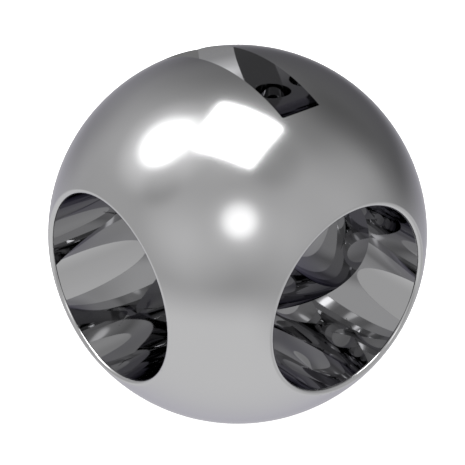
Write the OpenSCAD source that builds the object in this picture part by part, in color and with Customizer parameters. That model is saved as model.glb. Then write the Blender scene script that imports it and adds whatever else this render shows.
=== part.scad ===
// Three-way floating valve ball with two ports at a right angle
// The origin is the centre of the sealing sphere, and Z is the stem's axis
// The main port opens along -Y, the side port along +X, and the slot runs along X

/* [Sphere] */
// Diameter of the sealing sphere
ball_d = 50.8; // [42:0.2:80]

/* [Ports] */
// Diameter of both flow bores
port_d = 25; // [14:0.5:30]
// Radius of the rounded lip round each port
lip_r = 0.5; // [0.2:0.1:1.5]
// Run of the main bore's full width past the far wall of the side bore
bore_run_on = 1; // [0.2:0.1:3]
// Point angle of the drill that leaves the blind end of the main bore
point_angle = 135; // [100:1:150]

/* [Stem slot] */
// Width of the slot that takes the stem's tang
slot_w = 6; // [5:0.1:10]
// Depth of the slot's hollow floor below the top of the sphere, on the stem's axis
slot_depth = 6.15; // [3:0.05:7.5]
// Diameter of the disc cutter that hollows the slot's floor
cutter_d = 50; // [40:1:120]

/* [Vent] */
// Diameter of the vent hole between the slot and the bores, on the stem's axis
vent_d = 4.8; // [2:0.1:5]

/* [Hidden] */
$fn = 160;

ball_r = ball_d / 2;
port_r = port_d / 2;
cutter_r = cutter_d / 2;

// Cutters run this far past the faces that they open
past = 1;

// The lip is an arc that leaves the bore's wall and runs out in the sphere
lip_ring_r = port_r + lip_r;
lip_ring_h = sqrt(pow(ball_r - lip_r, 2) - pow(lip_ring_r, 2));
mouth_r = lip_ring_r * ball_r / (ball_r - lip_r);

// The main bore keeps its full width until the side bore opens fully into it
main_overrun = port_r + bore_run_on;
point_h = port_r / tan(point_angle / 2);

// The floor is lowest on the stem's axis and rises to both ends of the slot
slot_floor_z = ball_r - slot_depth;

// Half section of a bore along its axis, with a drilled point and a rounded mouth
module bore_section(overrun) {
    polygon([
        [0, -overrun - point_h],
        [port_r, -overrun],
        [port_r, lip_ring_h],
        [0, lip_ring_h]
    ]);
    difference() {
        translate([0, lip_ring_h])
            square([mouth_r, ball_r + past - lip_ring_h]);
        translate([lip_ring_r, lip_ring_h])
            circle(lip_r);
    }
}

module bore(overrun) {
    rotate_extrude()
        bore_section(overrun);
}

module main_bore() {
    rotate([90, 0, 0])
        bore(main_overrun);
}

module side_bore() {
    rotate([0, 90, 0])
        bore(0);
}

// Slot across the top, open at both ends, as a disc cutter leaves it
module stem_slot() {
    translate([0, slot_w / 2, slot_floor_z + cutter_r])
        rotate([90, 0, 0])
            cylinder(r = cutter_r, h = slot_w);
}

module vent_hole() {
    cylinder(d = vent_d, h = slot_floor_z + past);
}

module ball() {
    color("silver")
        difference() {
            sphere(ball_r);
            main_bore();
            side_bore();
            stem_slot();
            vent_hole();
        }
}

ball();
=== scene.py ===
import math
import bmesh
import bpy
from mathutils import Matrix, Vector


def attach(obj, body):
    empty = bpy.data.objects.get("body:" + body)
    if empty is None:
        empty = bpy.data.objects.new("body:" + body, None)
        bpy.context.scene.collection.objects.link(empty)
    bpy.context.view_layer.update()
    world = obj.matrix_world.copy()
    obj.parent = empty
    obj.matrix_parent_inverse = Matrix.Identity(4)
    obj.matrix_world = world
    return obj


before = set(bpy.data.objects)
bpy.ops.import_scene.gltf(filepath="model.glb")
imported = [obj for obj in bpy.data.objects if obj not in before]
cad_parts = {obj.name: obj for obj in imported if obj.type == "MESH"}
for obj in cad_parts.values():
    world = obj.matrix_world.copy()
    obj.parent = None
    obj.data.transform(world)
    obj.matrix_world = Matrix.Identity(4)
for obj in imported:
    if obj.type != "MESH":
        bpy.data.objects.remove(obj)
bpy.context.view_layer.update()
print("frame loaded:", sorted(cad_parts))

mm = 0.001
ballReach = 25.4  # mm
boreReach = 12.5
white = (1, 1, 1, 1)

scene = bpy.context.scene
scene.view_settings.view_transform = "Standard"
scene.cycles.glossy_bounces = 6  # the bores mirror each other many times
scene.cycles.min_light_bounces = 8  # keeps the dark mirrored parts clean


class Wire:  # a socket that can be used in sums
    mixSockets = {"VECTOR": (4, 5, 1), "RGBA": (6, 7, 2)}  # both inputs and the output

    def __init__(self, tree, socket=None):
        self.tree = tree
        self.socket = socket

    def node(self, kind, settings=None, inputs=None, out=0):
        made = self.tree.nodes.new(kind)
        for name, value in (settings or {}).items():
            setattr(made, name, value)
        for name, value in (inputs or {}).items():
            if isinstance(value, Wire):
                self.tree.links.new(value.socket, made.inputs[name])
            else:
                made.inputs[name].default_value = value
        return Wire(self.tree, made.outputs[out] if made.outputs else None)

    def math(self, operation, *values):
        return self.node("ShaderNodeMath", {"operation": operation}, dict(enumerate(values)))

    def vector(self, operation, *values, scale=None, out=0):
        inputs = dict(enumerate(values))
        if scale is not None:
            inputs["Scale"] = scale
        return self.node("ShaderNodeVectorMath", {"operation": operation}, inputs, out)

    def mix(self, kind, share, old, new):
        first, second, out = self.mixSockets[kind]
        inputs = {0: share, first: old, second: new}
        return self.node("ShaderNodeMix", {"data_type": kind}, inputs, out)

    def length(self, way):
        return self.vector("LENGTH", way, out="Value")

    def dot(self, one, two):
        return self.vector("DOT_PRODUCT", one, two, out="Value")

    def unit(self, way, size=1):
        return self.vector("SCALE", self.vector("NORMALIZE", way), scale=size)

    def __add__(self, other):
        return self.math("ADD", self, other)

    def __radd__(self, other):
        return self.math("ADD", other, self)

    def __sub__(self, other):
        return self.math("SUBTRACT", self, other)

    def __rsub__(self, other):
        return self.math("SUBTRACT", other, self)

    def __mul__(self, other):
        return self.math("MULTIPLY", self, other)

    def __rmul__(self, other):
        return self.math("MULTIPLY", other, self)

    def __truediv__(self, other):
        return self.math("DIVIDE", self, other)

    def step(self, low, high):  # eased step from 0 to 1
        return self.node(
            "ShaderNodeMapRange",
            {"interpolation_type": "SMOOTHSTEP"},
            {"Value": self, "From Min": low, "From Max": high},
        )


def newTree(owner):
    owner.use_nodes = True
    owner.node_tree.nodes.clear()
    return Wire(owner.node_tree)


# Steel of the ball. The mesh has facets, so the shader finds each machined face by its
# distance in mm from its own centre, axis or middle plane, and takes the exact direction
faces = {
    "outside": {"centre": (0, 0, 0), "spread": (1, 1, 1), "reach": ballReach, "way": 1},
    "mainBore": {
        "centre": (0, 0, 0), "spread": (1, 0, 1), "reach": boreReach, "way": -1, "feed": (0, 1, 0),
    },
    "sideBore": {
        "centre": (0, 0, 0), "spread": (0, 1, 1), "reach": boreReach, "way": -1, "feed": (1, 0, 0),
    },
    "slotFloor": {
        "centre": (0, 0, 44.25), "spread": (1, 0, 1), "reach": 25.0, "way": -1, "feed": (1, 0, 0),
    },
    "slotWalls": {
        "centre": (0, 0, 0), "spread": (0, 1, 0), "reach": 3.0, "way": -1, "feed": (1, 0, 0),
    },
    "slotHole": {"centre": (0, 0, 0), "spread": (1, 1, 0), "reach": 2.4, "way": -1},
}
points = {  # drilled points: the way to the tip, how far it is, how long the point is
    "mainPoint": {
        "axis": (0, 1, 0), "spread": (1, 0, 1), "tip": 18.678, "long": 5.19, "angle": 135,
    },
    "holePoint": {
        "axis": (0, 0, -1), "spread": (1, 1, 0), "tip": -13.775, "long": 0.95, "angle": 138,
    },
}
lips = {
    "mainLip": {"axis": (0, -1, 0), "spread": (1, 0, 1)},
    "sideLip": {"axis": (1, 0, 0), "spread": (0, 1, 1)},
}
lipRing = {"reach": 13.0, "far": 21.237, "mouth": 13.261}  # the lip is an arc round this ring
match = {"gap": 0.03, "turn": 0.9}  # how well the mesh has to fit a face, in mm and as a cosine
finish = {
    "tint": (0.525, 0.525, 0.53, 1),
    "paleTint": (0.535, 0.535, 0.54, 1),
    "edgeTint": (0.70, 0.69, 0.75, 1),
    "satin": 0.145,
    "bright": 0.03,
    "cloudSize": 6.0,
    "cloudDetail": 4.0,
    "cloudShare": 0.05,
    "feed": 0.35,  # the tool's travel for each turn, in mm
    "markDetail": 2.0,
    "markShare": 0.04,
    "noiseMiddle": 0.5,
}


def makeSteel():
    material = bpy.data.materials.new("ballSteel")
    tree = newTree(material)
    coords = tree.node("ShaderNodeTexCoord", out="Object")
    meshWay = tree.node("ShaderNodeTexCoord", out="Normal")
    spot = tree.vector("SCALE", coords, scale=1 / mm)

    def agrees(exact):
        return tree.math("GREATER_THAN", tree.dot(exact, meshWay), match["turn"])

    way = meshWay
    masks = {}
    for name, face in faces.items():
        fromCentre = tree.vector("SUBTRACT", spot, face["centre"])
        out = tree.vector("MULTIPLY", fromCentre, face["spread"])
        exact = tree.unit(out, face["way"])
        near = tree.math("COMPARE", tree.length(out), face["reach"], match["gap"])
        masks[name] = near * agrees(exact)
        way = tree.mix("VECTOR", masks[name], way, exact)
    for point in points.values():
        half = math.radians(point["angle"] / 2)
        out = tree.vector("MULTIPLY", spot, point["spread"])
        inward = tree.unit(out, -math.cos(half))
        exact = tree.vector("SUBTRACT", inward, Vector(point["axis"]) * math.sin(half))
        left = point["tip"] - tree.dot(spot, point["axis"])
        onCone = (left * math.sin(half), tree.length(out) * math.cos(half))
        near = tree.math("COMPARE", *onCone, match["gap"])
        near = near * tree.math("LESS_THAN", left, point["long"])
        way = tree.mix("VECTOR", near * agrees(exact), way, exact)
    satinMask = masks["outside"]
    for lip in lips.values():
        out = tree.vector("MULTIPLY", spot, lip["spread"])
        level = Vector(lip["axis"]) * lipRing["far"]
        ring = tree.vector("ADD", tree.unit(out, lipRing["reach"]), level)
        exact = tree.unit(tree.vector("SUBTRACT", spot, ring))
        here = tree.math("GREATER_THAN", tree.dot(spot, lip["axis"]), lipRing["far"])
        here = here * tree.math("LESS_THAN", tree.length(out), lipRing["mouth"])
        way = tree.mix("VECTOR", here, way, exact)
        satinMask = tree.math("MAXIMUM", satinMask, here)
    turn = {"vector_type": "NORMAL", "convert_from": "OBJECT", "convert_to": "WORLD"}
    slope = tree.node("ShaderNodeVectorTransform", turn, {0: way})

    clouds = {"Vector": spot, "Scale": 1 / finish["cloudSize"], "Detail": finish["cloudDetail"]}
    cloud = tree.node("ShaderNodeTexNoise", inputs=clouds)
    satin = finish["satin"] + (cloud - finish["noiseMiddle"]) * finish["cloudShare"]
    roughness = finish["bright"] + satinMask * (satin - finish["bright"])
    for name, face in faces.items():
        if "feed" in face:  # fine rings that the tools left
            travel = tree.dot(spot, face["feed"]) / finish["feed"]
            marks = {"W": travel, "Scale": 1.0, "Detail": finish["markDetail"]}
            rings = tree.node("ShaderNodeTexNoise", {"noise_dimensions": "1D"}, marks)
            ringed = masks[name] * (rings - finish["noiseMiddle"])
            roughness = roughness + ringed * finish["markShare"]
    shader = tree.node(
        "ShaderNodeBsdfPrincipled",
        inputs={
            "Base Color": tree.mix("RGBA", cloud, finish["tint"], finish["paleTint"]),
            "Specular Tint": finish["edgeTint"],
            "Metallic": 1.0,
            "Roughness": roughness,
            "Normal": slope,
        },
    )
    tree.node("ShaderNodeOutputMaterial", inputs={"Surface": shader})
    return material


steel = makeSteel()
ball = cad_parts["ball"]
ball.data.materials.clear()
ball.data.materials.append(steel)
print("steel on the ball")


# Blind end of the hole in the slot, in mm: a drilled point with a pilot hole above,
# the roof of both bores below
holeEnd = {
    "reach": 2.41,
    "floor": 14.7,
    "pointAngle": 138,
    "pilotReach": 0.95,
    "pilotFloor": 13.0,
    "rings": 12,
    "steps": 192,
    "weld": 0.0001,
}


def makeHoleEnd():
    reach, floor, rings = holeEnd["reach"], holeEnd["floor"], holeEnd["rings"]
    pilot, tip = holeEnd["pilotReach"], holeEnd["pilotFloor"]
    pointEnd = floor - (reach - pilot) / math.tan(math.radians(holeEnd["pointAngle"] / 2))
    section = [(0, tip), (pilot, tip), (pilot, pointEnd), (reach, floor)]
    section += [(reach * (1 - k / rings), boreReach) for k in range(rings + 1)]
    bm = bmesh.new()
    line = [bm.verts.new((r * mm, 0, z * mm)) for r, z in section]
    edges = [bm.edges.new(pair) for pair in zip(line, line[1:])]
    bmesh.ops.spin(
        bm, geom=line + edges, cent=(0, 0, 0), axis=(0, 0, 1), dvec=(0, 0, 0),
        angle=math.tau, steps=holeEnd["steps"], use_merge=True, use_duplicate=False,
    )
    bmesh.ops.remove_doubles(bm, verts=bm.verts, dist=holeEnd["weld"] * mm)
    for vert in bm.verts:  # the underside goes on with the higher bore's roof
        if vert.co.z < (boreReach + tip) / 2 * mm:
            nearer = min(abs(vert.co.x), abs(vert.co.y))
            vert.co.z = math.sqrt((boreReach * mm) ** 2 - nearer ** 2)
    bmesh.ops.recalc_face_normals(bm, faces=bm.faces)
    mesh = bpy.data.meshes.new("holeEnd")
    bm.to_mesh(mesh)
    bm.free()
    mesh.materials.append(steel)
    piece = bpy.data.objects.new("holeEnd", mesh)
    scene.collection.objects.link(piece)
    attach(piece, "root")


makeHoleEnd()
print("blind end in the hole")


# Studio: the camera, the lamp, what the steel mirrors, and the floor
view = {
    "azimuth": 50.13,
    "elevation": 29.71,
    "distance": 6.978,  # in ball radii, as the shifts are
    "right": 0.0267,
    "down": 0.0083,
    "lens": 101.5,
    "sensor": 36.0,
    "nearest": 0.005,
    "farthest": 50.0,
}
azimuth = math.radians(view["azimuth"])
elevation = math.radians(view["elevation"])
towardCamera = Vector((math.sin(azimuth), -math.cos(azimuth), 0))
cameraRight = Vector((math.cos(azimuth), math.sin(azimuth), 0))


def direction(aside, above):  # degrees right of the camera, and above the horizon
    a, e = math.radians(aside), math.radians(above)
    level = towardCamera * math.cos(a) + cameraRight * math.sin(a)
    return level * math.cos(e) + Vector((0, 0, math.sin(e)))


def makeCamera():
    data = bpy.data.cameras.new("camera")
    data.lens = view["lens"]
    data.sensor_width = view["sensor"]
    data.clip_start = view["nearest"]
    data.clip_end = view["farthest"]
    camera = bpy.data.objects.new("camera", data)
    scene.collection.objects.link(camera)
    back = direction(0, view["elevation"])
    up = Vector((0, 0, math.cos(elevation))) - towardCamera * math.sin(elevation)
    place = back * view["distance"] - cameraRight * view["right"] + up * view["down"]
    camera.location = place * ballReach * mm
    camera.rotation_mode = "QUATERNION"
    camera.rotation_quaternion = (-back).to_track_quat("-Z", "Y")
    scene.camera = camera


# The square lamp overhead, in metres, its width as a share of the height
topLamp = {"across": 0.60, "turn": 22.5, "far": 4.0, "radiance": 7.0, "back": 0.03, "left": 0.015}


def makeLamp():
    data = bpy.data.lights.new("topLamp", "AREA")
    data.shape = "SQUARE"
    data.size = topLamp["across"] * topLamp["far"]
    data.energy = topLamp["radiance"] * data.size ** 2 * math.pi
    placed = bpy.data.objects.new("topLamp", data)
    scene.collection.objects.link(placed)
    aside = towardCamera * topLamp["back"] + cameraRight * topLamp["left"]
    placed.location = Vector((0, 0, topLamp["far"])) - aside
    placed.rotation_euler = (0, 0, math.radians(topLamp["turn"]))


# What the steel mirrors: grey walls, a pale table below, a darker ceiling, two soft round
# lamps, and lighter and darker places
walls = {
    "wallLevel": 0.576,
    "tableGain": 0.343,
    "tableEdge": (-0.46, 0.005),
    "ceilingShare": 0.292,
    "ceilingEdge": (0.314, 0.822),
    "places": [  # degrees right of the camera and above the horizon, start, full, gain
        (-100.5, 53.6, 18.4, 0.0, 2.5),
        (-96.0, 51.5, 11.5, 4.0, 4.5),
        (-112.0, 66.0, 11.0, 0.0, 0.8),
        (-97.0, 53.4, 31.1, 0.4, 0.65),
        (1.2, 37.5, 13.2, 0.0, 1.6),
        (0.7, 37.1, 20.0, 2.0, 0.2),
        (171.7, 0.8, 70.9, 40.7, -0.20),
        (145.5, 31.9, 64.9, 31.6, -0.20),
        (-145.6, 64.5, 57.1, 3.5, 0.19),
        (58.5, 20.7, 59.8, 4.2, 0.34),
        (-22.7, 37.4, 44.2, 0.6, 0.27),
        (-0.7, 17.4, 32.8, 0.3, -0.10),
        (-67.0, 42.5, 15.0, 0.0, -0.18),
        (-82.0, 65.0, 9.0, 0.0, 0.5),
        (59.5, -4.6, 56.9, 5.6, -0.30),
        (50.0, 66.0, 20.0, 4.0, -0.18),
        (-144.0, 0.0, 32.0, 5.0, 0.07),
        (113.0, 9.0, 20.0, 3.0, 0.03),
        (126.0, 31.0, 22.0, 3.0, -0.02),
    ],
}


def makeWorld():
    world = bpy.data.worlds.new("studio")
    scene.world = world
    tree = newTree(world)

    def cosine(degrees):
        return math.cos(math.radians(degrees))

    ray = tree.node("ShaderNodeTexCoord", out="Generated")
    height = tree.node("ShaderNodeSeparateXYZ", inputs={0: ray}, out="Z")
    glow = walls["wallLevel"] + walls["tableGain"] * (1 - height.step(*walls["tableEdge"]))
    for aside, above, start, full, gain in walls["places"]:
        near = tree.dot(ray, direction(aside, above)).step(cosine(start), cosine(full))
        glow = glow + near * gain
    glow = glow * (1 - walls["ceilingShare"] * height.step(*walls["ceilingEdge"]))
    seen = tree.node("ShaderNodeLightPath", out="Is Camera Ray")
    strength = seen + (1 - seen) * glow  # the backdrop itself stays white
    shine = tree.node("ShaderNodeBackground", inputs={"Color": white, "Strength": strength})
    tree.node("ShaderNodeOutputWorld", inputs={"Surface": shine})


# The white floor under the ball, which the steel doesn't mirror
paleFloor = {
    "reach": 1.2,
    "segments": 96,
    "colour": (0.9, 0.9, 0.9, 1),
    "roughness": 0.9,
    "glow": 0.9,
}


def makeFloor():
    mesh = bpy.data.meshes.new("floor")
    bm = bmesh.new()
    bmesh.ops.create_circle(
        bm, cap_ends=True, segments=paleFloor["segments"], radius=paleFloor["reach"],
    )
    bmesh.ops.translate(bm, verts=bm.verts, vec=(0, 0, -ballReach * mm))
    bm.to_mesh(mesh)
    bm.free()
    floor = bpy.data.objects.new("floor", mesh)
    scene.collection.objects.link(floor)
    floor.visible_glossy = False
    material = bpy.data.materials.new("paleFloor")
    tree = newTree(material)
    shader = tree.node(
        "ShaderNodeBsdfPrincipled",
        inputs={
            "Base Color": paleFloor["colour"],
            "Roughness": paleFloor["roughness"],
            "Emission Color": white,
            "Emission Strength": paleFloor["glow"],
        },
    )
    tree.node("ShaderNodeOutputMaterial", inputs={"Surface": shader})
    mesh.materials.append(material)


makeCamera()
makeLamp()
makeWorld()
makeFloor()
print("studio ready")
